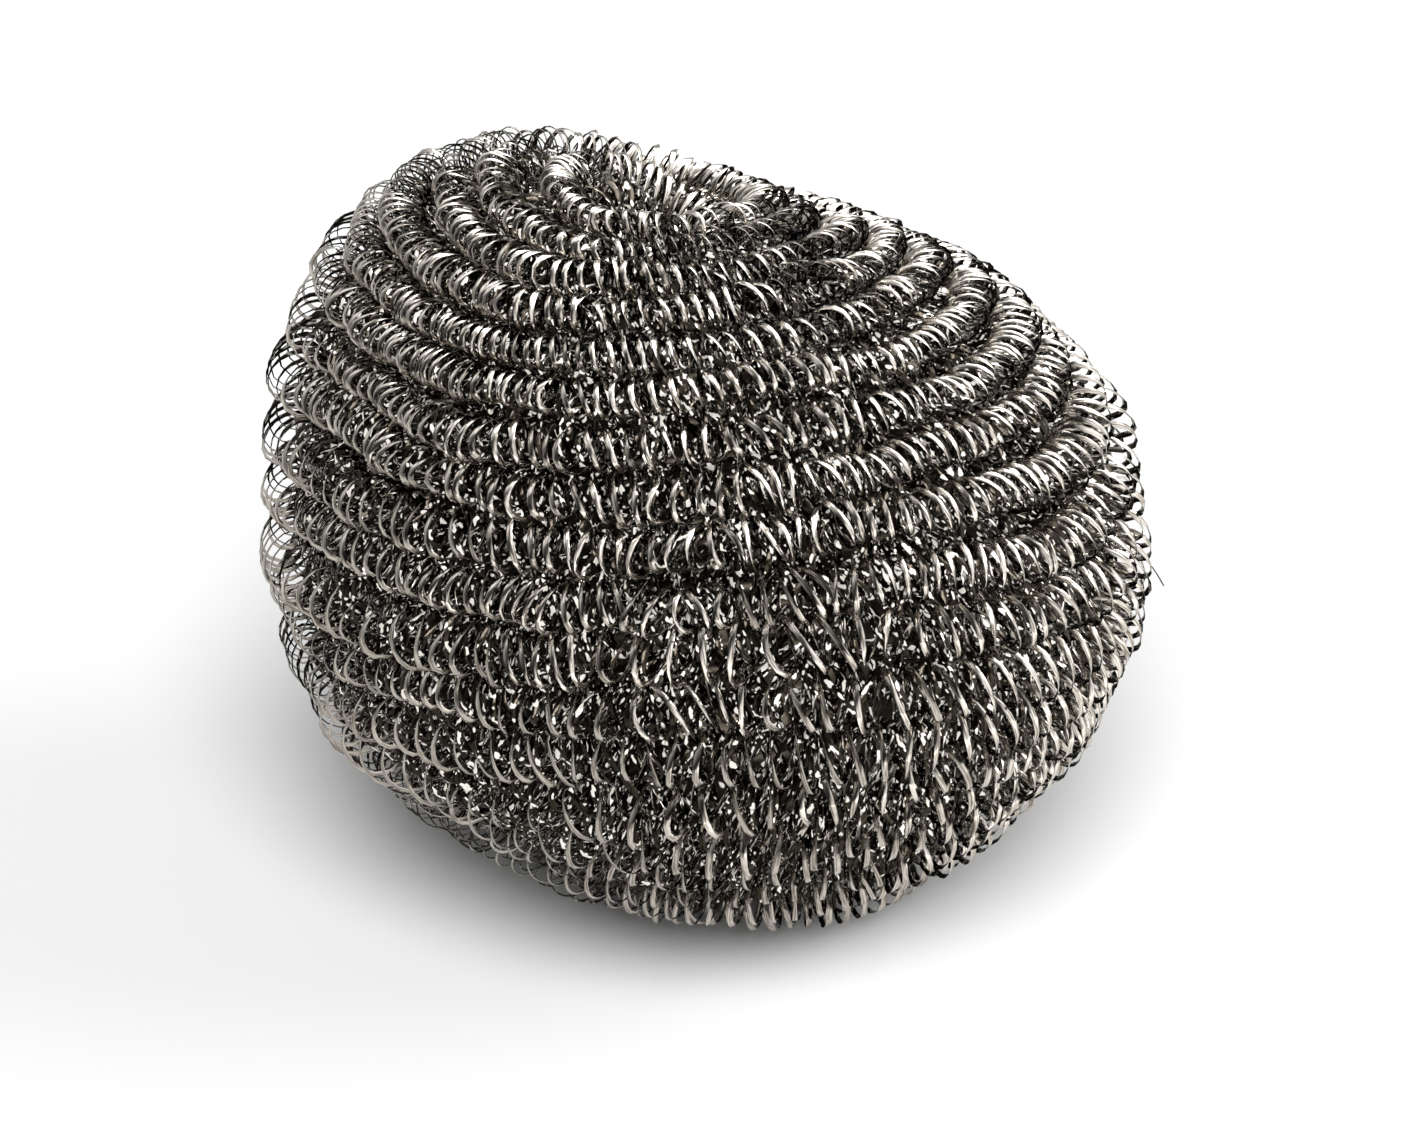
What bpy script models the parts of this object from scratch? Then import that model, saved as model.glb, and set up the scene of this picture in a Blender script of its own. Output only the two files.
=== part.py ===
"""Stainless steel scourer: one long coil of flat stainless ribbon, wound round and round into a bun.

The coil is a single strand. It starts at the top pole, runs round the bun turn below turn and ends
at the bottom pole, and each turn lies against the one before it. The solid is the bun with every
turn standing out as a round ridge, ribs across the ridges for the loops of the coil, and a
hollow in the middle of the top where the strand starts.

Metres, +Z up, the front towards -Y. The bun rests on Z = 0 with its box centred over the origin.
"""

import math
from collections import namedtuple

import bpy
import numpy as np

MM = 0.001

# The bun: half of its width, depth and height, and how far its long axis drops to the right
HALF_WIDTH = 44.5 * MM
HALF_DEPTH = 43.5 * MM
HALF_HEIGHT = 39.0 * MM
SLUMP = math.radians(6)

# Where a hand has pressed or swollen it: azimuth from the right, elevation, height and reach
Press = namedtuple("Press", "azimuth elevation height reach")
PRESSES = {
    "left_shoulder": Press(152, 41, 6.4 * MM, 30),
    "right_slope": Press(55, 57, -4.5 * MM, 32),
    "left_side": Press(173, 13, -1.3 * MM, 30),
    "lower_left": Press(219, -50, -2.9 * MM, 30),
    "front_dent": Press(273, 5, -2.2 * MM, 9),
    "right_bulge": Press(305, 2, 1.6 * MM, 16),
}

# The winding: its axis leans to the left and to the back, and its turns sway up and down
LEAN_LEFT = math.radians(7.5)
LEAN_BACK = math.radians(5.5)
SWAY = 1.1 * MM
SWAY_WAVES = 2

# Where the turns have slid down the bun, or up it where the drop is negative
Slide = namedtuple("Slide", "azimuth elevation drop reach")
SLIDES = {
    "left_side": Slide(200, 22, -4.0 * MM, 24),
    "right_side": Slide(335, 5, 5.2 * MM, 26),
}

# The strand: its width from turn to turn, which is a little more at the belly than at the poles
STRAND_WIDTH = 5.1 * MM
CREST_WIDTH = 2.0 * MM
BELLY_SPREAD = 0.02
GROOVE_DEPTH = 3.3 * MM
RIB_STEP = 2.1 * MM
RIB_DEPTH = 1.1 * MM

# The hollow in the middle of the top, where the strand starts, and how many turns it takes up
TOP_HOLLOW = 3.5 * MM
HOLLOW_TURNS = 0.9

# The small flat spot that it rests on, and the shallower grooves that are pressed into it
REST_SPOT = 32.0 * MM
REST_GROOVE_DEPTH = 2.1 * MM
UNDERSIDE = Slide(270, -90, GROOVE_DEPTH - REST_GROOVE_DEPTH, 40)

POLE_CAP_ANGLE = math.radians(20)
SHARP_ANGLE = math.radians(50)

MEAN_RADIUS = (HALF_WIDTH * HALF_DEPTH * HALF_HEIGHT) ** (1 / 3)
TURNS = round(math.pi * MEAN_RADIUS / STRAND_WIDTH)
LAST_START = math.tau * (TURNS - 1)
END = math.tau * TURNS


def clear_scene():
    for obj in list(bpy.data.objects):
        bpy.data.objects.remove(obj)


def direction(azimuth, elevation):
    """The unit vector towards an azimuth and an elevation in degrees."""
    a, e = math.radians(azimuth), math.radians(elevation)
    return np.array([math.cos(e) * math.cos(a), math.cos(e) * math.sin(a), math.sin(e)])


def bell(out, spot):
    """1 at the spot and falling off round it over its reach, for an array of unit vectors."""
    away = np.arccos(np.clip(out @ direction(spot.azimuth, spot.elevation), -1, 1))
    return np.exp(-((away / math.radians(spot.reach)) ** 2))


def bun_radius(out):
    """Distance from the middle of the bun to its outside, for an array of unit vectors."""
    x = out[:, 0] * math.cos(SLUMP) - out[:, 2] * math.sin(SLUMP)
    z = out[:, 0] * math.sin(SLUMP) + out[:, 2] * math.cos(SLUMP)
    y = out[:, 1]
    radius = 1 / np.sqrt((x / HALF_WIDTH) ** 2 + (y / HALF_DEPTH) ** 2 + (z / HALF_HEIGHT) ** 2)
    for press in PRESSES.values():
        radius += press.height * bell(out, press)
    return radius


def winding_axes():
    """The winding's axis, and two directions across it: to the right and to the back."""
    axis = np.array([-math.sin(LEAN_LEFT), math.sin(LEAN_BACK), 1.0])
    axis /= np.linalg.norm(axis)
    right = np.array([1.0, 0.0, 0.0]) - axis * axis[0]
    right /= np.linalg.norm(right)
    return axis, right, np.cross(axis, right)


def polar_angle(turn):
    """How far from the top pole a turn lies: 0 at turn 0 and half a circle at the last one."""
    share = turn / TURNS
    return math.pi * share - BELLY_SPREAD / 2 * np.sin(math.tau * share)


def outward(polar, angle):
    """Unit vectors at these angles from the winding's axis and round it."""
    axis, right, back = winding_axes()
    across = np.cos(angle)[:, None] * right + np.sin(angle)[:, None] * back
    return np.cos(polar)[:, None] * axis + np.sin(polar)[:, None] * across


def surface_directions(turn, angle):
    """Unit vectors from the middle of the bun to these turns, at these angles round the axis."""
    polar = polar_angle(turn)
    drop = SWAY * np.sin(polar) ** 2 * np.sin(SWAY_WAVES * angle + 2 * polar)
    for slide in SLIDES.values():
        drop = drop + slide.drop * bell(outward(polar, angle), slide)
    return outward(polar + drop / MEAN_RADIUS, angle)


def groove_depths(turn, out):
    """How deep the groove runs: deepest in the hollow on top and shallow underneath."""
    hollow = TOP_HOLLOW * np.exp(-((turn / HOLLOW_TURNS) ** 2))
    return GROOVE_DEPTH + hollow - UNDERSIDE.drop * bell(out, UNDERSIDE)


def stations(start, end):
    """Angles from start to end, one rib step apart along the strand, in an even number of steps."""
    fine = np.linspace(start, end, 4000)
    reach = np.maximum(MEAN_RADIUS * np.sin(polar_angle(fine / math.tau)), RIB_STEP / POLE_CAP_ANGLE)
    length = np.concatenate([[0], np.cumsum((reach[1:] + reach[:-1]) / 2 * np.diff(fine))])
    steps = 2 * math.ceil(length[-1] / RIB_STEP / 2)
    return np.interp(np.linspace(0, length[-1], steps + 1), length, fine)


def strand_stations():
    """The angles of the whole strand, which hold the end of its first turn and the start of its last."""
    return (
        stations(0, math.tau)[:-1],
        stations(math.tau, LAST_START),
        stations(LAST_START, END)[1:],
    )


class Line:
    """One line that runs the whole length of the strand: its points, their angles and their numbers."""

    def __init__(self, first_number, offset, angles, depth=None):
        turn = angles / math.tau + offset
        out = surface_directions(turn, angles)
        depth = groove_depths(turn, out) if depth is None else depth
        self.angles = angles
        self.points = out * (bun_radius(out) - depth)[:, None]
        self.numbers = np.arange(first_number, first_number + len(angles))


def strand_lines():
    """The groove above the strand, and the upper and lower shoulder of its ridge."""
    first, middle, last = strand_stations()
    ridge = np.concatenate([first, middle])
    groove_angles = np.concatenate([ridge, last])[::2]
    notch = RIB_DEPTH * (np.arange(len(ridge)) % 2)
    half_crest = CREST_WIDTH / STRAND_WIDTH / 2
    groove = Line(0, 0, groove_angles)
    upper = Line(len(groove_angles), 0.5 - half_crest, ridge, notch)
    lower = Line(len(groove_angles) + len(ridge), 0.5 + half_crest, ridge, RIB_DEPTH - notch)
    return groove, upper, lower


def strip(above, below, above_angles, below_angles):
    """Triangles between two lines that start and end together, each step taken on the line behind."""
    faces = []
    i = j = 0
    while i < len(above) - 1 or j < len(below) - 1:
        above_next = above_angles[i + 1] if i < len(above) - 1 else math.inf
        below_next = below_angles[j + 1] if j < len(below) - 1 else math.inf
        if above_next < below_next:
            faces.append((above[i], below[j], above[i + 1]))
            i += 1
        else:
            faces.append((above[i], below[j], below[j + 1]))
            j += 1
    return faces


def strand_faces(groove, upper, lower):
    """The strand's three strips, the two pole fans and the two cut ends of the strand."""
    starts_last = int(np.searchsorted(groove.angles, LAST_START - 1e-6))
    ends_first = int(np.searchsorted(groove.angles, math.tau - 1e-6))
    own = slice(0, starts_last + 1)
    after = slice(ends_first, None)
    faces = strip(groove.numbers[own], upper.numbers, groove.angles[own], upper.angles)
    faces += strip(upper.numbers, lower.numbers, upper.angles, lower.angles)
    faces += strip(lower.numbers, groove.numbers[after], lower.angles, groove.angles[after] - math.tau)
    top, bottom = groove.numbers[0], groove.numbers[-1]
    for k in range(1, ends_first):
        faces.append((top, groove.numbers[k], groove.numbers[k + 1]))
    for k in range(starts_last, len(groove.numbers) - 2):
        faces.append((groove.numbers[k], bottom, groove.numbers[k + 1]))
    faces.append((top, groove.numbers[ends_first], lower.numbers[0], upper.numbers[0]))
    faces.append((groove.numbers[starts_last], upper.numbers[-1], lower.numbers[-1], bottom))
    return [tuple(int(number) for number in face) for face in faces]


def rest_on_floor(points):
    """Flattens the lowest part to the rest spot, and puts the spot at Z = 0 under the box's middle."""
    floor = points[:, 2].min() + (REST_SPOT / 2) ** 2 / (2 * MEAN_RADIUS)
    points[:, 2] = np.maximum(points[:, 2], floor) - floor
    middle = (points[:, :2].min(axis=0) + points[:, :2].max(axis=0)) / 2
    points[:, :2] -= middle
    return points


def steel():
    material = bpy.data.materials.new("stainless_steel")
    material.use_nodes = True
    shader = material.node_tree.nodes["Principled BSDF"]
    shader.inputs["Base Color"].default_value = (0.56, 0.54, 0.51, 1)
    shader.inputs["Metallic"].default_value = 1.0
    shader.inputs["Roughness"].default_value = 0.28
    return material


def wound_coil():
    lines = strand_lines()
    points = rest_on_floor(np.concatenate([line.points for line in lines]))
    mesh = bpy.data.meshes.new("wound_coil")
    mesh.from_pydata(points.tolist(), [], strand_faces(*lines))
    mesh.shade_smooth()
    mesh.set_sharp_from_angle(angle=SHARP_ANGLE)
    mesh.materials.append(steel())
    coil = bpy.data.objects.new("wound_coil", mesh)
    bpy.context.scene.collection.objects.link(coil)
    return coil


clear_scene()
wound_coil()
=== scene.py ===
# Stainless steel scourer: the coil of flat ribbon, wound turn on turn into a slumped bun.
# Every loop of the outer turns is real ribbon. Deeper turns are ribbon too, painted dark as
# shade with painted glints, down to a middle sheet in painted shade.

import math

import bpy
import numpy as np
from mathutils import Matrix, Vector


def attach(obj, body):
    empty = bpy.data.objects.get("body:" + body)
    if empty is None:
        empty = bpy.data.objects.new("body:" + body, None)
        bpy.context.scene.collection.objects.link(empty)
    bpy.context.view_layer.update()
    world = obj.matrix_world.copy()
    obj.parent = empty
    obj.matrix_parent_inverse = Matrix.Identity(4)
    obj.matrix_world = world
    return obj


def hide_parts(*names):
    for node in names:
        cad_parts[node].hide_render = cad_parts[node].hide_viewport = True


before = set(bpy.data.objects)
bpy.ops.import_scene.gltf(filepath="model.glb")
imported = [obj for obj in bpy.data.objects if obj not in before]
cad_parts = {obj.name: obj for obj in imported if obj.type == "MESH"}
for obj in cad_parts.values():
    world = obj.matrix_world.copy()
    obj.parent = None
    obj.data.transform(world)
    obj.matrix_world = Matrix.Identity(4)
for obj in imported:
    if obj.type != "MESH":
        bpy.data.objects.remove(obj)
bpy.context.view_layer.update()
print("frame loaded:", sorted(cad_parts))

mm = 0.001


# The bun's form and its winding, as the solid has them

bun = {
    "halfWidth": 44.5 * mm,
    "halfDepth": 43.5 * mm,
    "halfHeight": 39.0 * mm,
    "slump": math.radians(6),       # the long axis drops to the right
    "restSpot": 32.0 * mm,          # the flat spot underneath
    "presses": [                    # azimuth, elevation and reach in degrees
        {"azimuth": 152, "elevation": 41, "height": 6.4 * mm, "reach": 30},    # left shoulder
        {"azimuth": 55, "elevation": 57, "height": -4.5 * mm, "reach": 32},    # long right slope
        {"azimuth": 173, "elevation": 13, "height": -1.3 * mm, "reach": 30},   # left side
        {"azimuth": 219, "elevation": -50, "height": -2.9 * mm, "reach": 30},  # lower left
        {"azimuth": 273, "elevation": 5, "height": -2.2 * mm, "reach": 9},     # dent in the front
        {"azimuth": 305, "elevation": 2, "height": 1.6 * mm, "reach": 16},     # bulge beside it
    ],
}

winding = {
    "strandWidth": 5.1 * mm,
    "bellySpread": 0.02,            # the turns lie a little wider apart at the belly
    "leanLeft": math.radians(7.5),
    "leanBack": math.radians(5.5),
    "sway": 1.1 * mm,
    "swayWaves": 2,
    "slides": [                     # where the turns have slid down the bun, or up it
        {"azimuth": 200, "elevation": 22, "drop": -4.0 * mm, "reach": 24},
        {"azimuth": 335, "elevation": 5, "drop": 5.2 * mm, "reach": 26},
    ],
}

meanRadius = (bun["halfWidth"] * bun["halfDepth"] * bun["halfHeight"]) ** (1 / 3)
turns = round(math.pi * meanRadius / winding["strandWidth"])


def unit(rows):  # each row divided by its own length
    return rows / np.maximum(np.linalg.norm(rows, axis=-1, keepdims=True), 1e-12)


def bell(out, spot):
    # 1 at the spot, falling off round it as e to the minus square of the angle over the reach
    a, e = math.radians(spot["azimuth"]), math.radians(spot["elevation"])
    towards = np.array([math.cos(e) * math.cos(a), math.cos(e) * math.sin(a), math.sin(e)])
    away = np.arccos(np.clip(out @ towards, -1, 1))
    return np.exp(-((away / math.radians(spot["reach"])) ** 2))


def bunRadius(out):
    # An ellipsoid's radius along each unit vector, plus one bell-shaped bump for each press
    x = out[:, 0] * math.cos(bun["slump"]) - out[:, 2] * math.sin(bun["slump"])
    z = out[:, 0] * math.sin(bun["slump"]) + out[:, 2] * math.cos(bun["slump"])
    scaled = np.stack([x / bun["halfWidth"], out[:, 1] / bun["halfDepth"], z / bun["halfHeight"]])
    radius = 1 / np.linalg.norm(scaled, axis=0)
    for press in bun["presses"]:
        radius += press["height"] * bell(out, press)
    return radius


def polarAngle(turn):  # even steps from pole to pole, less a sine that spreads the belly's turns
    share = turn / turns
    return math.pi * share - winding["bellySpread"] / 2 * np.sin(math.tau * share)


def windingDirection(polar, angle):
    # Unit vectors at a polar angle from the leaning axis and an angle round it
    axis = unit(np.array([-math.sin(winding["leanLeft"]), math.sin(winding["leanBack"]), 1.0]))
    right = unit(np.array([1.0, 0.0, 0.0]) - axis * axis[0])
    back = np.cross(axis, right)
    across = np.cos(angle)[:, None] * right + np.sin(angle)[:, None] * back
    return np.cos(polar)[:, None] * axis + np.sin(polar)[:, None] * across


def onBun(turn, angle, depth):
    # The direction of a turn, swayed and slid down the bun, times the bun's radius less the depth
    polar = polarAngle(turn)
    drop = winding["sway"] * np.sin(polar) ** 2 * np.sin(winding["swayWaves"] * angle + 2 * polar)
    for slide in winding["slides"]:
        drop = drop + slide["drop"] * bell(windingDirection(polar, angle), slide)
    out = windingDirection(polar + drop / meanRadius, angle)
    return out * (bunRadius(out) - depth)[:, None]


def bunPlace():
    # The box of the outermost turns gives the middle of the bun and the floor, as in the solid
    pointsPerTurn = 60
    turn = np.linspace(0, turns, pointsPerTurn * turns)
    outside = onBun(turn, math.tau * turn, 0)
    floor = outside[:, 2].min() + (bun["restSpot"] / 2) ** 2 / (2 * meanRadius)
    middle = (outside[:, :2].min(axis=0) + outside[:, :2].max(axis=0)) / 2
    return np.array([-middle[0], -middle[1], -floor])


bunMiddle = bunPlace()
print("bun's middle:", np.round(bunMiddle, 4).tolist())


# Noise, and the spots where the coil is loose, tangled or open

def noise(x, seed):
    # Smooth value noise: random heights at whole numbers, joined by a cubic ease
    count = 4096
    heights = np.random.default_rng(seed).uniform(-1, 1, count)
    low = np.floor(x).astype(int)
    t = x - low
    t = t * t * (3 - 2 * t)
    return heights[low % count] * (1 - t) + heights[(low + 1) % count] * t


def patches(points, size, seed):
    # Soft patches in space: six sine waves in random directions, added up, divided by three and
    # held between -1 and 1
    random = np.random.default_rng(seed)
    total = np.zeros(len(points))
    for wave in range(6):
        towards = unit(random.normal(size=3)) * math.tau / size * random.uniform(0.7, 1.4)
        total += np.sin(points @ towards + random.uniform(0, math.tau))
    return np.clip(total / 3, -1, 1)


looseSpots = [
    {"azimuth": 65, "elevation": 46, "reach": 24, "amount": 0.75},    # the far rim of the top
    {"azimuth": 285, "elevation": 62, "reach": 22, "amount": 0.36},   # the front of the top
    {"azimuth": 8, "elevation": 22, "reach": 26, "amount": 0.35},     # the right side
]

tangledSpots = [
    {"azimuth": 274, "elevation": 14, "reach": 24, "amount": 0.60},   # the middle of the front
]

openSpots = [                       # where one sees through the outer loops
    {"azimuth": 183, "elevation": 8, "reach": 26},
    {"azimuth": 345, "elevation": -22, "reach": 26},
    {"azimuth": 62, "elevation": 44, "reach": 20},
]

looseness = {
    "bellyPeak": 1.5,               # looseness at the belly, before it is held to 1
    "bellyFall": 1.55,              # how fast it falls towards the poles
    "bellyHeight": -0.15,           # the sine of the elevation where it peaks
    "side": 0.9,                    # what share of it the sides have
    "front": 0.25,                  # how much more the front has, and less the back
    "back": 0.6,                    # the least that the back has
    "even": 0.85,                   # the even share of the belly's looseness
    "uneven": 0.75,                 # and the share that comes and goes
    "unevenSpots": 0.8,             # and that of the spots'
    "runLength": 13 * mm,           # it comes and goes along the strand
    "runShare": 0.5,
    "runSeed": 51,
    "patchSize": 34 * mm,           # and in patches over several turns
    "patchShare": 0.4,
    "patchSeed": 5,
}


def belly(outward):  # 1 where the bun faces sideways, falling to 0 towards its poles
    fromPeak = np.abs(outward[:, 2] - looseness["bellyHeight"])
    return np.clip(looseness["bellyPeak"] - looseness["bellyFall"] * fromPeak, 0, 1)


def howLoose(path):
    # Loose all round the belly and most of all in front, looser in a few spots, and tight towards
    # the poles, with uneven runs between
    outward = path["outward"]
    front = np.clip(looseness["side"] - looseness["front"] * outward[:, 1], looseness["back"], 1)
    alongStrand = noise(path["length"] / looseness["runLength"], looseness["runSeed"])
    inSpace = patches(path["centre"], looseness["patchSize"], looseness["patchSeed"])
    runs = looseness["runShare"] * alongStrand + looseness["patchShare"] * inSpace
    atBelly = belly(outward) * front * (looseness["even"] + looseness["uneven"] * runs)
    spots = sum(spot["amount"] * bell(outward, spot) for spot in looseSpots)
    return np.clip(atBelly + spots * (1 + looseness["unevenSpots"] * runs), 0, 1)


# Strands, and the ribbon that is coiled round them

strand = {
    "pointsPerTurn": 220,
    "tuckTurns": 0.3,               # how soon its ends tuck in
    "upDownLength": 17 * mm,        # how soon it wanders up and down, and in and out
    "inOutLength": 13 * mm,
    "inOut": 0.8,                   # how far in and out, in strays
    "inward": 0.3,                  # how far in it lies on the whole
    "upDownSeed": 11,               # added to the coil's own seed
    "inOutSeed": 12,
}


def strandPath(coil):
    # The middle line of a strand: the bun's spiral at a depth, which is more where the coil is
    # sunk. It wanders up and down and in and out, and tucks its two ends in at the poles.
    lastTurn = turns - coil["firstTurn"]
    turn = np.linspace(coil["firstTurn"], lastTurn, strand["pointsPerTurn"] * turns)
    angle = math.tau * (turn - 0.5 - coil["shift"])
    fromEnd = np.minimum(turn, turns - turn) - coil["firstTurn"]
    depth = coil["depth"] + coil["tuck"] * np.exp(-((fromEnd / strand["tuckTurns"]) ** 2))
    out = unit(onBun(turn, angle, 0 * depth))
    depth = depth + coil["sink"] * sum(bell(out, spot) for spot in openSpots)
    centre = onBun(turn, angle, depth)
    beside = onBun(turn, angle + 1e-3, depth) - centre      # two small steps over the bun
    above = onBun(turn - 1e-2, angle, depth) - centre
    outward = unit(np.cross(beside, above))
    centre = centre + bunMiddle
    step = np.linalg.norm(np.diff(centre, axis=0), axis=1)
    length = np.concatenate([[0], np.cumsum(step)])
    sideways = np.cross(unit(np.gradient(centre, axis=0)), outward)
    stray = coil["stray"]
    upDown = noise(length / strand["upDownLength"], coil["seed"] + strand["upDownSeed"])
    inOut = noise(length / strand["inOutLength"], coil["seed"] + strand["inOutSeed"])
    inOut = strand["inOut"] * inOut - strand["inward"]
    centre = centre + stray * upDown[:, None] * sideways
    centre = centre + stray * inOut[:, None] * outward
    forward = unit(np.gradient(centre, axis=0))
    return {"length": length, "centre": centre, "outward": outward, "forward": forward}


def along(path, name, length):  # a path's vectors at these lengths
    columns = [np.interp(length, path["length"], path[name][:, axis]) for axis in range(3)]
    return np.stack(columns, axis=1)


unevenLoops = {                     # the amount, its steps in a loop, and what its seed adds
    "ahead": (0.9, 0.35, 0),        # radians that the loop runs ahead or behind
    "size": (0.16, 0.9, 1),         # radii, from loop to loop
    "slowSize": (0.12, 0.13, 2),    # and over eight loops or so
    "lean": (0.6, 0.8, 3),          # radii that it leans along the strand
    "upDown": (0.2, 0.31, 4),       # radii that it lies off the strand
    "inOut": (0.2, 0.27, 5),
    "patchSize": (0.14, 1.0, 6),    # this one goes by length, in the coil's patchLength
    "twist": (1.0, 0.6, 7),         # times the coil's twist
    "width": (0.14, 1.1, 8),        # of the ribbon
}


def uneven(name, step, coil):  # one of the noises above, as an amount times noise at a pace
    amount, pace, seed = unevenLoops[name]
    return amount * noise(step * pace, coil["seed"] + seed)


def coilLine(path, coil):
    # A helix round the strand: the pitch sets how fast it turns, and noise on its radius, lean and
    # place keeps its loops uneven, more so in the tangled spots. The loops have toppled, so each
    # one's outer side lies behind its inner side, by a share of the pitch. Its lower side hangs
    # out over the row below, by the overhang times the sine of its turn, less and less under the
    # belly. Steps are shorter on the outer half of each loop, which is the half in sight.
    loose = howLoose(path)
    pitch = coil["tightPitch"] + (coil["loosePitch"] - coil["tightPitch"]) * loose
    turnSteps = np.diff(path["length"]) / ((pitch[1:] + pitch[:-1]) / 2)
    turnsSoFar = np.concatenate([[0], np.cumsum(turnSteps)])
    loops = int(turnsSoFar[-1])
    step = np.arange(loops * coil["steps"] + 1) / coil["steps"]
    phase = math.tau * step - coil["crowding"] * np.sin(math.tau * step)
    length = np.interp(phase / math.tau, turnsSoFar, path["length"])
    looseHere = np.interp(length, path["length"], loose)
    toppleHere = np.interp(length, path["length"], coil["topple"] * pitch)
    width = coil["tightWidth"] + (coil["looseWidth"] - coil["tightWidth"]) * looseHere
    centre = along(path, "centre", length)
    outward = unit(along(path, "outward", length))
    forward = unit(along(path, "forward", length))
    sideways = np.cross(forward, outward)
    tangle = 1 + sum(spot["amount"] * bell(outward, spot) for spot in tangledSpots)
    wander = coil["wander"] * tangle
    turn = phase + coil["phase"] + wander * uneven("ahead", step, coil)
    size = coil["poleRadius"] + (coil["radius"] - coil["poleRadius"]) * belly(outward)
    size = size * (1 + uneven("patchSize", length / coil["patchLength"], coil))
    ownSize = uneven("size", step, coil) + uneven("slowSize", step, coil)
    reach = size * (1 + wander * ownSize + coil["looseGrowth"] * looseHere)
    lean = size * wander * uneven("lean", step, coil)
    centre = centre + (size * wander * uneven("upDown", step, coil))[:, None] * sideways
    centre = centre + (size * wander * uneven("inOut", step, coil))[:, None] * outward
    radial = np.cos(turn)[:, None] * outward + np.sin(turn)[:, None] * sideways * coil["widen"]
    slip = lean * np.sin(turn + coil["leanTurn"]) - toppleHere * np.cos(turn)
    hangs = coil["overhang"] * np.clip(1 + coil["overhangFade"] * outward[:, 2], 0, 1)
    hang = reach * hangs * np.sin(turn)
    line = centre + reach[:, None] * radial + slip[:, None] * forward + hang[:, None] * outward
    return line, radial, step, turn, width, tangle


ribbonUnit = 0.5 * mm               # one unit of u along the ribbon
sharpEdge = math.radians(60)


def ribbonMesh(line, radial, step, turn, across, tangle, coil):
    # A three-sided ribbon along the line: a flat outer face and a low ridge inside. It twists at
    # random, and by the sine of its turn, so each loop is widest in front and thin where it goes
    # round behind. u is the distance along the line, and v goes by thirds round the three sides.
    ahead = unit(np.gradient(line, axis=0))
    width = unit(np.cross(ahead, radial))
    face = np.cross(width, ahead)
    twist = coil["twist"] * tangle * uneven("twist", step, coil) + coil["edgeOn"] * np.sin(turn)
    cosine, sine = np.cos(twist)[:, None], np.sin(twist)[:, None]
    width, face = width * cosine + face * sine, face * cosine - width * sine
    half = (across / 2 * (1 + uneven("width", step, coil)))[:, None]
    inner = line - face * coil["ribbonThickness"]
    rings = np.stack([line - width * half, line + width * half, inner], axis=1)
    first = np.arange(len(line) - 1)[:, None] * 3
    sides = [np.array([k, (k + 1) % 3, (k + 1) % 3 + 3, k + 3]) for k in range(3)]
    quads = np.stack([first + side for side in sides], axis=1).reshape(-1, 4)
    travel = np.concatenate([[0], np.cumsum(np.linalg.norm(np.diff(line, axis=0), axis=1))])
    u = np.stack([travel[:-1], travel[:-1], travel[1:], travel[1:]], axis=1)
    u = np.repeat(u[:, None, :], 3, axis=1)
    thirds = np.array([[0, 1, 1, 0], [1, 2, 2, 1], [2, 3, 3, 2]]) / 3
    v = np.broadcast_to(thirds, u.shape)
    corners = np.stack([u / ribbonUnit, v], axis=-1).reshape(-1, 2)
    return rings.reshape(-1, 3), quads, corners


floorPress = {
    "kept": 0.12,                   # the share of its depth under the lift that ribbon keeps
    "lowest": 0.2,                  # the share of the lift that it never sinks below
}


def keepAboveFloor(points, lift):
    # What would sink below the lift is pressed nearly flat on it: it keeps a small share of its
    # depth, which counts only down to where that share reaches the lowest height
    deepest = lift * (1 - floorPress["lowest"]) / floorPress["kept"]
    low = points[:, 2] < lift
    points[low, 2] = lift - floorPress["kept"] * (lift - points[low, 2]).clip(0, deepest)
    return points


def addMesh(name, points, quads, corners, material):
    # Quads of four corners each go in as whole arrays, and two triangles close the open ends
    mesh = bpy.data.meshes.new(name)
    ends = np.array([[0, 2, 1], [len(points) - 3, len(points) - 2, len(points) - 1]])
    order = np.concatenate([quads.ravel(), ends.ravel()])
    starts = np.concatenate([np.arange(len(quads)) * 4, len(quads) * 4 + np.array([0, 3])])
    sizes = np.concatenate([np.full(len(quads), 4), [3, 3]])
    corners = np.concatenate([corners, np.zeros((ends.size, 2))])
    mesh.vertices.add(len(points))
    mesh.vertices.foreach_set("co", points.astype(np.float32).ravel())
    mesh.loops.add(len(order))
    mesh.loops.foreach_set("vertex_index", order.astype(np.int32))
    mesh.polygons.add(len(starts))
    mesh.polygons.foreach_set("loop_start", starts.astype(np.int32))
    mesh.polygons.foreach_set("loop_total", sizes.astype(np.int32))
    uv = mesh.uv_layers.new(name="ribbon")
    uv.data.foreach_set("uv", corners.astype(np.float32).ravel())
    mesh.update(calc_edges=True)
    mesh.validate()
    mesh.shade_smooth()
    mesh.set_sharp_from_angle(angle=sharpEdge)
    mesh.materials.append(material)
    piece = bpy.data.objects.new(name, mesh)
    bpy.context.scene.collection.objects.link(piece)
    print(name, "triangles:", len(quads) * 2 + 2)
    return piece


# Shader maths: one socket with Python's operators, and one call for every other node

class Wire:
    def __init__(self, shader, socket):
        self.shader = shader
        self.socket = socket

    def maths(self, operation, first, second):
        return self.shader.node("ShaderNodeMath", {"operation": operation}, {0: first, 1: second})

    def __add__(self, other):
        return self.maths("ADD", self, other)

    def __radd__(self, other):
        return self.maths("ADD", other, self)

    def __sub__(self, other):
        return self.maths("SUBTRACT", self, other)

    def __rsub__(self, other):
        return self.maths("SUBTRACT", other, self)

    def __mul__(self, other):
        return self.maths("MULTIPLY", self, other)

    def __rmul__(self, other):
        return self.maths("MULTIPLY", other, self)


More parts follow.
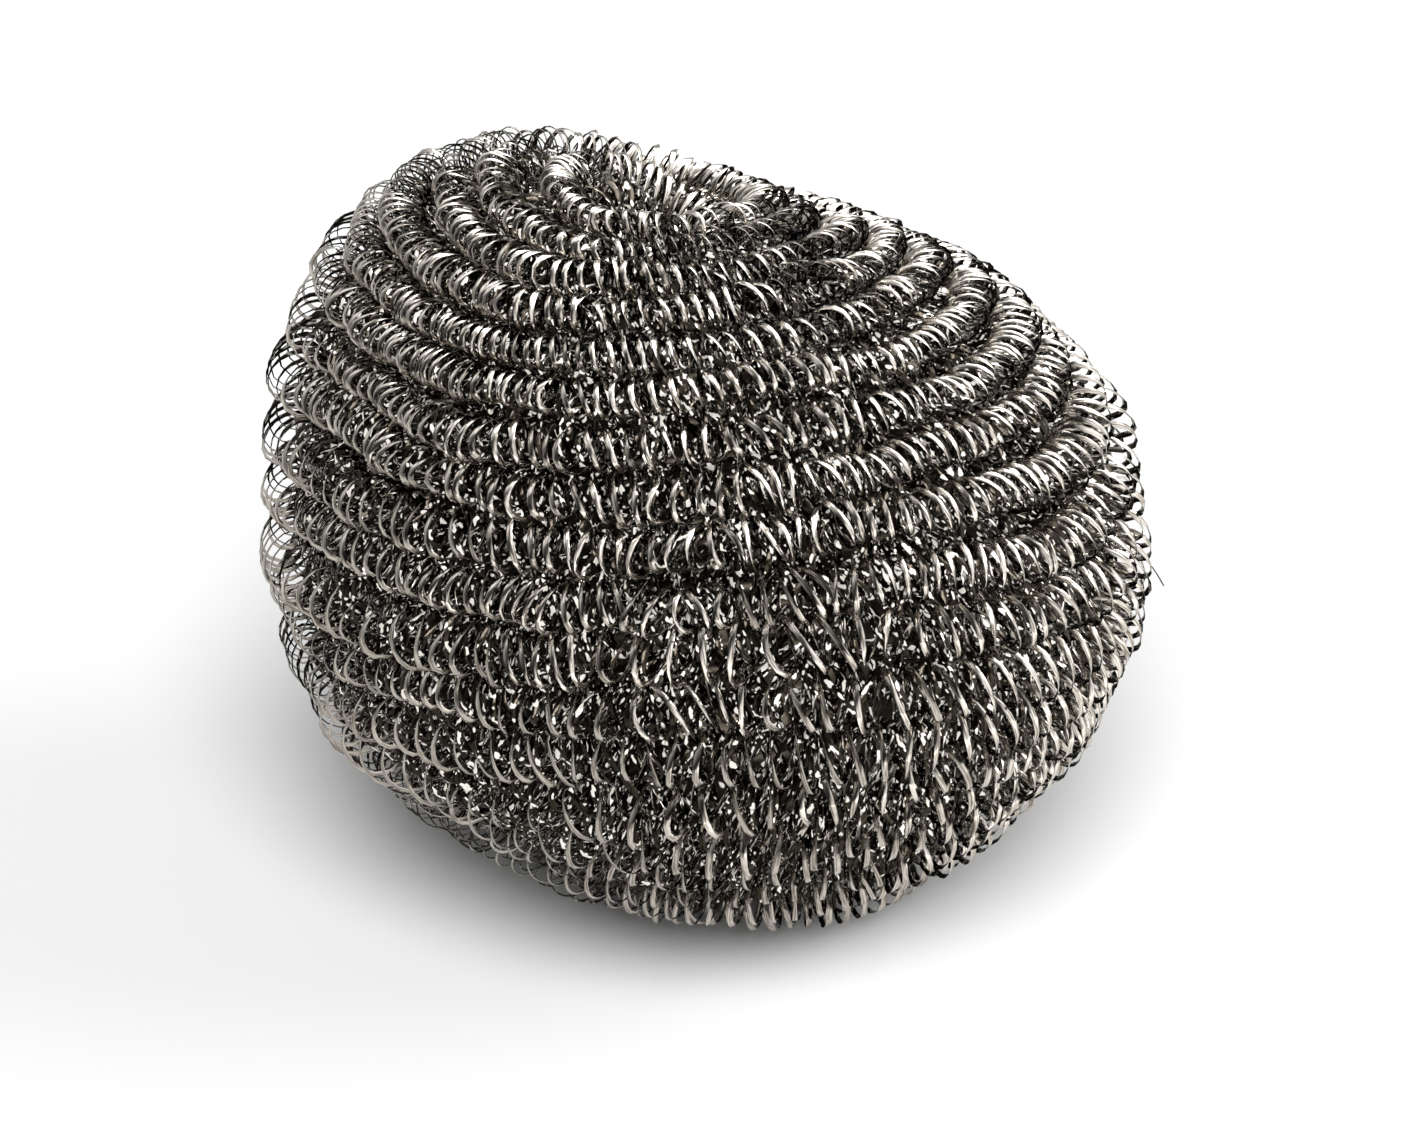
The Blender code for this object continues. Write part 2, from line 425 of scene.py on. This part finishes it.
class Shader:
    def __init__(self, owner):  # a new material, or a world
        owner.use_nodes = True
        self.owner = owner
        self.tree = owner.node_tree
        self.surface = self.tree.nodes.get("Principled BSDF")

    def node(self, kind, settings, inputs, output=0):
        made = self.tree.nodes.new(kind)
        for name, value in settings.items():
            setattr(made, name, value)
        self.feed(made, inputs)
        return Wire(self, made.outputs[output]) if output is not None else made

    def feed(self, made, inputs):
        for name, value in inputs.items():
            if isinstance(value, Wire):
                self.tree.links.new(value.socket, made.inputs[name])
            else:
                made.inputs[name].default_value = value

    def coordinates(self, kind):
        return self.node("ShaderNodeTexCoord", {}, {}, kind)

    def axis(self, vector, name):
        return self.node("ShaderNodeSeparateXYZ", {}, {"Vector": vector}, name)

    def scaled(self, vector, scale):
        return self.node("ShaderNodeMapping", {}, {"Vector": vector, "Scale": scale})

    def ray(self, kind):  # 1 for this kind of ray, 0 for the others
        return self.node("ShaderNodeLightPath", {}, {}, kind)

    def noise(self, vector, scale, detail, roughness):
        inputs = {"Vector": vector, "Scale": scale, "Detail": detail, "Roughness": roughness}
        return self.node("ShaderNodeTexNoise", {}, inputs, "Fac")

    def ease(self, value, low, high, start=0.0, end=1.0):  # start below low, end above high
        inputs = {"Value": value, "From Min": low, "From Max": high, "To Min": start, "To Max": end}
        return self.node("ShaderNodeMapRange", {}, inputs, "Result")

    def mix(self, share, first, second):
        return self.node("ShaderNodeMix", {}, {0: share, 2: first, 3: second})

    def mixColour(self, share, first, second):
        return self.node("ShaderNodeMix", {"data_type": "RGBA"}, {0: share, 6: first, 7: second}, 2)

    def bump(self, height, strength, distance):
        inputs = {"Height": height, "Strength": strength, "Distance": distance}
        return self.node("ShaderNodeBump", {}, inputs, "Normal")


ribbonSteel = {
    "bright": (0.80, 0.75, 0.685, 1),
    "streak": (0.14, 0.115, 0.09, 1),   # the dark drawn lines along the ribbon
    "edgeShade": (0.10, 0.085, 0.07, 1),     # painted shade on the rolled edges, where they curl away from the light
    "edgeRange": (0.75, 1.0),           # where they darken, as the square of the way to the edge
    "roughness": 0.10,
    "lineStretch": (0.2, 9.0, 1.0),     # of the drawn lines' noise, along the ribbon and across
    "lineRange": (0.45, 0.60),          # the noise over which they darken
    "lineShare": 0.7,                   # how much they darken the face
    "lineRoughness": 0.12,              # how much rougher they are
    "lineHeight": 0.3,                  # how high they stand, in crowns
    "tintScale": 260.0,                 # the soft patches
    "tintRange": (0.42, 0.68),
    "tintShare": 0.3,                   # how much they darken the face
    "crown": 0.05 * mm,                 # how far the middle of the ribbon stands above its edges
    "crumple": 0.07 * mm,
    "crumpleScale": 900.0,
    "back": (0.335, 0.345),             # where v passes from the face to the inner sides
    "paintedGlint": (0.95, 0.91, 0.84, 1),     # painted glint: pale where a ribbon inside the bun would catch the light
    "paintedShade": (0.045, 0.038, 0.030, 1),   # painted shade: near-black where it wouldn't
    "glintRange": (0.585, 0.615),       # the noise over which the painted glint begins
    "glintStretch": (0.5, 2.6, 1.0),
    "glintDull": 0.85,                  # how far a painted glint is from bare metal, so that it stays pale under any light
}


def makeRibbonSteel(name, inside):
    # u runs along the ribbon in half millimetres, and v from 0 to 1/3 across its face and then
    # over its two inner sides. Drawn lines and soft patches change the face's colour, and the
    # lines its roughness. The inner sides, and the whole ribbon inside the bun, are painted shade,
    # near-black, with short pale lengths that are painted glints. The way from the middle line,
    # where v is 1/6, is 1 at the edge, and its square taken from the height gives the crown.
    steel = ribbonSteel
    shader = Shader(bpy.data.materials.new(name))
    place = shader.coordinates("Object")
    ribbon = shader.coordinates("UV")
    across = shader.axis(ribbon, "Y")
    lines = shader.noise(shader.scaled(ribbon, steel["lineStretch"]), 1.0, 2.0, 0.6)
    streak = shader.ease(lines, *steel["lineRange"])
    tint = shader.ease(shader.noise(place, steel["tintScale"], 2.0, 0.5), *steel["tintRange"])
    darker = tint * steel["tintShare"] + streak * steel["lineShare"]
    face = shader.mixColour(darker, steel["bright"], steel["streak"])
    away = across * 6 - 1
    # painted shade on the face towards its edges, where the ribbon curls away
    face = shader.mixColour(shader.ease(away * away, *steel["edgeRange"]), face, steel["edgeShade"])
    lengths = shader.noise(shader.scaled(ribbon, steel["glintStretch"]), 1.0, 1.0, 0.5)
    paintedGlint = shader.ease(lengths, *steel["glintRange"])
    # painted shade with painted glints, for the inner sides and for ribbon inside the bun
    paintedShadeAndGlints = shader.mixColour(paintedGlint, steel["paintedShade"], steel["paintedGlint"])
    if inside:
        colour = paintedShadeAndGlints
        metallic = 1 - steel["glintDull"] * paintedGlint
    else:
        back = shader.ease(across, *steel["back"])
        colour = shader.mixColour(back, face, paintedShadeAndGlints)
        metallic = 1 - steel["glintDull"] * paintedGlint * back
    dents = shader.noise(place, steel["crumpleScale"], 1.0, 0.5)
    lineHeight = steel["lineHeight"] * lines
    height = lineHeight - away * away + dents * (steel["crumple"] / steel["crown"])
    shader.feed(shader.surface, {
        "Base Color": colour,
        "Metallic": metallic,
        "Roughness": steel["roughness"] + steel["lineRoughness"] * lines,
        "Normal": shader.bump(height, 1.0, steel["crown"]),
    })
    return shader.owner


outerMaterial = makeRibbonSteel("stainless_ribbon", inside=False)
# the deep coils' steel is all painted shade with painted glints
buriedMaterial = makeRibbonSteel("buried_ribbon", inside=True)


# The coils: each is one unbroken ribbon from the top pole to the bottom one

outerCoil = {
    "depth": 2.3 * mm,              # of the strand's middle line, under the bun's outside
    "firstTurn": 1.45,              # the turn of the bun where it starts
    "shift": 0.0,                   # turns that it lies behind the solid's strand
    "tuck": 5.0 * mm,               # how much deeper its two ends lie
    "stray": 0.55 * mm,             # how far the strand wanders
    "sink": 0.0,                    # how much deeper it lies in the open spots
    "radius": 2.25 * mm,            # of the loops at the belly, and at the poles
    "poleRadius": 1.85 * mm,
    "patchLength": 26 * mm,         # of strand, over which the loops grow and shrink
    "looseGrowth": 0.08,            # how much larger they are where they are loose
    "widen": 1.08,                  # sideways radius over outward radius
    "tightPitch": 0.95 * mm,
    "loosePitch": 3.1 * mm,
    "topple": 0.22,                 # how far the loops have toppled, in pitches
    "leanTurn": 0.6,                # where a loop leans most, in radians from its side
    "overhang": 0.32,               # how far their lower sides stand out, in radii
    "overhangFade": 1.6,            # how soon that ends under the belly
    "phase": 0.0,                   # radians by which the loops are turned
    "wander": 0.85,                 # how uneven they are
    "steps": 13,                    # points in a loop
    "crowding": 0.3,                # how much closer they lie on its outer half
    "tightWidth": 0.49 * mm,        # of the ribbon in tight loops, and in loose ones
    "looseWidth": 0.60 * mm,
    "ribbonThickness": 0.12 * mm,
    "twist": 0.6,                   # radians that it twists at random
    "edgeOn": 0.9,                  # and where it goes round behind
    "lift": 0.15 * mm,              # the height below which it is pressed on the floor
    "material": outerMaterial,
    "seed": 11,
}

doubledCoil = dict(
    outerCoil,
    depth=4.1 * mm,
    sink=1.3 * mm,
    radius=1.7 * mm,
    poleRadius=1.45 * mm,
    tightPitch=1.9 * mm,
    loosePitch=2.1 * mm,
    phase=2.1,
    wander=1.3,
    steps=12,
    tightWidth=0.5 * mm,
    looseWidth=0.6 * mm,
    twist=0.9,
    material=buriedMaterial,
    seed=23,
)

secondCoil = dict(
    outerCoil,
    depth=6.2 * mm,
    firstTurn=0.95,
    shift=0.5,
    sink=1.3 * mm,
    stray=0.9 * mm,
    radius=2.4 * mm,
    poleRadius=2.4 * mm,
    tightPitch=1.6 * mm,
    loosePitch=1.9 * mm,
    wander=1.3,
    steps=11,
    tightWidth=0.65 * mm,
    looseWidth=0.65 * mm,
    twist=1.0,
    material=buriedMaterial,
    seed=37,
)

thirdCoil = dict(
    secondCoil,
    depth=8.8 * mm,
    shift=0.0,
    seed=53,
)


def partOfBun(piece):  # what every piece of the scourer says to the frame
    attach(piece, "root")
    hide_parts("wound_coil")
    return piece


def addCoil(name, coil):  # a ribbon along a helix round a strand
    points, quads, corners = ribbonMesh(*coilLine(strandPath(coil), coil), coil)
    points = keepAboveFloor(points, coil["lift"])
    return partOfBun(addMesh(name, points, quads, corners, coil["material"]))


outer = addCoil("outer_coil", outerCoil)
addCoil("doubled_coil", doubledCoil)
addCoil("second_coil", secondCoil)
addCoil("third_coil", thirdCoil)


looseEnd = {                        # the end of wire that hangs off the right side
    "points": [                     # millimetres from the bun's middle
        (40.5, 1.0, -0.5),
        (44.0, 0.2, -1.8),
        (45.3, -0.4, -3.4),
        (46.5, -0.9, -5.6),
    ],
    "width": 0.32 * mm,
    "steps": 16,
}


def addLooseEnd():
    # A cubic Bezier curve through four points from the bun's middle, with the ribbon along it
    t = np.linspace(0, 1, looseEnd["steps"])[:, None]
    weights = [(1 - t) ** 3, 3 * t * (1 - t) ** 2, 3 * t ** 2 * (1 - t), t ** 3]
    weighted = [weight * np.array(point) for weight, point in zip(weights, looseEnd["points"])]
    line = bunMiddle + sum(weighted) * mm
    step = t[:, 0]
    turn = np.zeros_like(step)
    width = np.full_like(step, looseEnd["width"])
    tangle = np.ones_like(step)
    radial = unit(line - bunMiddle)
    points, quads, corners = ribbonMesh(line, radial, step, turn, width, tangle, outerCoil)
    return partOfBun(addMesh("loose_end", points, quads, corners, outerMaterial))


outerPieces = [outer, addLooseEnd()]


# The middle of the bun: more turns than can be counted, a deep sheet in painted shade with painted
# glints

buriedTurns = {
    "depth": 10.0 * mm,
    "ridge": 1.6 * mm,
    "rows": 150,
    "columns": 130,
    "poleGap": 0.02,                # turns left out at each pole, where one face closes the grid
    "lift": 0.4 * mm,
    "glintScale": 900.0,
    "glintRange": (0.62, 0.66),
    "roughness": 0.3,
}


def makeBuriedSteel():  # painted shade: near-black metal, with small pale painted glints where a fine noise is high
    shader = Shader(bpy.data.materials.new("buried_turns"))
    # a fine noise, whose high spots are painted as glints
    crumple = shader.noise(shader.coordinates("Object"), buriedTurns["glintScale"], 1.0, 0.5)
    paintedGlint = shader.ease(crumple, *buriedTurns["glintRange"])
    shader.feed(shader.surface, {
        "Base Color": shader.mixColour(paintedGlint, ribbonSteel["paintedShade"], ribbonSteel["paintedGlint"]),
        "Metallic": 1 - ribbonSteel["glintDull"] * paintedGlint,
        "Roughness": buriedTurns["roughness"],
    })
    return shader.owner


def addBuriedTurns():
    # A grid from pole to pole over the bun, sunk deep, with a cosine ridge for each turn
    rows, columns = buriedTurns["rows"], buriedTurns["columns"]
    turn, angle = np.meshgrid(
        np.linspace(buriedTurns["poleGap"], turns - buriedTurns["poleGap"], rows),
        np.linspace(0, math.tau, columns, endpoint=False),
        indexing="ij",
    )
    wave = np.cos(math.tau * turn - angle).ravel()
    depth = buriedTurns["depth"] - buriedTurns["ridge"] / 2 * wave
    points = onBun(turn.ravel(), angle.ravel(), depth) + bunMiddle
    points = keepAboveFloor(points, buriedTurns["lift"])
    number = np.arange(rows * columns).reshape(rows, columns)
    right = np.roll(number, -1, axis=1)
    quads = np.stack([number[:-1], number[1:], right[1:], right[:-1]], axis=-1).reshape(-1, 4)
    faces = quads.tolist() + [number[0].tolist(), number[-1][::-1].tolist()]
    mesh = bpy.data.meshes.new("buried_turns")
    mesh.from_pydata(points.tolist(), [], faces)
    mesh.shade_smooth()
    mesh.materials.append(makeBuriedSteel())
    piece = bpy.data.objects.new("buried_turns", mesh)
    bpy.context.scene.collection.objects.link(piece)
    partOfBun(piece)


addBuriedTurns()
print("bun wound")


# The floor, the light and the camera

stageSet = {
    "floorHalf": 3.0,
    "floorColour": (0.35, 0.35, 0.35, 1),
    "floorRoughness": 0.9,
    "floorInSteel": (0.235, 0.231, 0.225, 1),   # how pale the steel sees the floor near the bun
    "farInSteel": (0.08, 0.078, 0.075, 1),      # painted shade: how dark the steel sees the floor far in front
    "rightInSteel": (0.80, 0.79, 0.765, 1),     # painted light: how bright the steel sees the front right
    "nearRange": (-0.26, -0.09),                # metres of y, from far to near
    "rightRange": (0.0, 0.2),                   # metres of x, from dull to bright
    "frontRange": (0.1, -0.1),                  # metres of y, from dull to bright
}


def addFloor():
    # A plain square: one grey to the camera, and to the steel three soft-edged greys, which are
    # painted light on the front right and painted shade far in front
    half = stageSet["floorHalf"]
    corners = [(-half, -half, 0), (half, -half, 0), (half, half, 0), (-half, half, 0)]
    mesh = bpy.data.meshes.new("floor")
    mesh.from_pydata(corners, [], [(0, 1, 2, 3)])
    shader = Shader(bpy.data.materials.new("floor"))
    inSteel = shader.ray("Is Glossy Ray")
    place = shader.coordinates("Object")
    x, y = (shader.axis(place, name) for name in "XY")
    # painted light and shade in the floor that only the steel's reflections show
    front = shader.ease(y, *stageSet["frontRange"])
    frontRight = shader.ease(x, *stageSet["rightRange"]) * front
    near = shader.ease(y, *stageSet["nearRange"])
    inFront = shader.mixColour(near, stageSet["farInSteel"], stageSet["floorInSteel"])
    steelSees = shader.mixColour(frontRight, inFront, stageSet["rightInSteel"])
    shader.feed(shader.surface, {
        "Base Color": shader.mixColour(inSteel, stageSet["floorColour"], steelSees),
        "Roughness": stageSet["floorRoughness"],
        "Specular IOR Level": 0.0,
    })
    mesh.materials.append(shader.owner)
    floor = bpy.data.objects.new("floor", mesh)
    bpy.context.scene.collection.objects.link(floor)
    return floor


floor = addFloor()

studio = {
    "sweep": 1.0,                   # the white that the camera sees
    "sky": 0.42,                    # the even light on the floor
    "room": 0.012,                  # the dimmest that the steel sees
    "behind": (-0.2, 0.9, 0.42),    # each wall's start and end in the direction, and its light
    "right": (0.1, 0.55, 1.15),
    "left": (-0.35, -0.9, 0.32),
    "above": (0.3, 0.8, 1.0),
    "aboveBack": (-0.3, 0.3, 0.06),     # the ceiling dims to this share towards the front
    "key": {"place": (0.42, 0.22, 0.60), "size": 0.45, "power": 3.8},
    "top": {"place": (0.06, 0.46, 0.62), "size": 0.50, "power": 3.2},
    "glints": {"place": (0.08, -0.60, 0.46), "size": 0.36, "power": 4.9},
    "glintsBehind": {"place": (0.20, 0.62, 0.40), "size": 0.36, "power": 2.3},
    "frontShade": {"azimuth": -88, "elevation": 50, "spread": 38, "strength": 8.9},
    "sideShade": {"azimuth": 4, "elevation": 30, "spread": 40, "strength": 3.4},
}


def addLamp(name, kind, power):
    light = bpy.data.lights.new(name, kind)
    light.energy = power
    lamp = bpy.data.objects.new(name, light)
    bpy.context.scene.collection.objects.link(lamp)
    return lamp


def addSoftbox(name, box):  # a square light that faces the bun
    lamp = addLamp(name, "AREA", box["power"])
    lamp.data.size = box["size"]
    place = np.array(box["place"])
    towards = bunMiddle - place
    lamp.location = place
    lamp.rotation_mode = "QUATERNION"
    lamp.rotation_quaternion = Vector(towards.tolist()).to_track_quat("-Z", "Y")
    return lamp


def addSun(name, sun):  # parallel light from an azimuth and an elevation, as soft as its spread
    lamp = addLamp(name, "SUN", sun["strength"])
    lamp.data.angle = math.radians(sun["spread"])
    lamp.rotation_euler = (0, math.radians(90 - sun["elevation"]), math.radians(sun["azimuth"]))
    return lamp


def lightsOnly(lamp, pieces):  # the lamp lights these pieces, and all the others still shade them
    group = bpy.data.collections.new("lit_by_" + lamp.name)
    for piece in pieces:
        group.objects.link(piece)
    lamp.light_linking.receiver_collection = group


def addWorld():
    # Three rooms in one: the camera sees a white sweep, the floor is lit by a soft even sky, and
    # the steel reflects a studio that is dim in front, and pale behind, on the right, a little on
    # the left, and overhead towards the back. The studio is the sum of its walls.
    shader = Shader(bpy.data.worlds.new("studio"))
    shader.tree.nodes.clear()
    towards = shader.coordinates("Generated")
    x, y, z = (shader.axis(towards, name) for name in "XYZ")

    def wall(way, name):  # dark up to its start, at its light from its end on
        start, end, light = studio[name]
        return shader.ease(way, start, end, 0.0, light)

    behind, right, left = wall(y, "behind"), wall(x, "right"), wall(x, "left")
    start, end, least = studio["aboveBack"]
    above = wall(z, "above") * shader.ease(y, start, end, least, 1.0)
    room = studio["room"] + behind + right + left + above
    soft = shader.mix(shader.ray("Is Diffuse Ray"), room, studio["sky"])
    seen = shader.mix(shader.ray("Is Camera Ray"), soft, studio["sweep"])
    light = shader.node("ShaderNodeBackground", {}, {"Color": (1, 1, 1, 1), "Strength": seen})
    shader.node("ShaderNodeOutputWorld", {}, {"Surface": light}, None)
    bpy.context.scene.world = shader.owner


steelPieces = [piece for piece in bpy.data.objects if piece.type == "MESH" and piece != floor]
deepPieces = [piece for piece in steelPieces if piece not in outerPieces]
lightsOnly(addSoftbox("key_light", studio["key"]), steelPieces)
lightsOnly(addSoftbox("top_light", studio["top"]), steelPieces)
for name, box in {"glints_light": "glints", "glints_behind_light": "glintsBehind"}.items():
    lamp = addSoftbox(name, studio[box])
    lamp.data.use_shadow = False    # it reaches ribbon at any depth, as light between loops does
    lightsOnly(lamp, deepPieces)
lightsOnly(addSun("front_shade", studio["frontShade"]), [floor])
lightsOnly(addSun("side_shade", studio["sideShade"]), [floor])
addWorld()
bpy.context.scene.view_settings.view_transform = "Standard"
print("lights placed")

view = {
    "elevation": math.radians(28),
    "distance": 450.0 * mm,
    "framePixels": (1402, 1122),
    "pixelsPerMm": 10.0,
    "bunPixel": (701, 532),         # where the bun's middle falls in the frame
    "sensor": 36.0,                 # its width in millimetres
    "clip": (0.01, 20),
}


def addCamera():
    # It looks down at the elevation, with a lens that shows the frame's width at the distance
    back = np.array([0, -math.cos(view["elevation"]), math.sin(view["elevation"])])
    up = np.array([0, math.sin(view["elevation"]), math.cos(view["elevation"])])
    frameWidth = view["framePixels"][0] / view["pixelsPerMm"] * mm
    lens = bpy.data.cameras.new("camera")
    lens.sensor_width = view["sensor"]
    lens.lens = view["sensor"] * view["distance"] / frameWidth
    lens.clip_start, lens.clip_end = view["clip"]
    dropPixels = view["framePixels"][1] / 2 - view["bunPixel"][1]
    aim = bunMiddle - up * dropPixels / view["pixelsPerMm"] * mm
    camera = bpy.data.objects.new("camera", lens)
    bpy.context.scene.collection.objects.link(camera)
    camera.location = aim + back * view["distance"]
    camera.rotation_euler = (math.pi / 2 - view["elevation"], 0, 0)
    bpy.context.scene.camera = camera


addCamera()
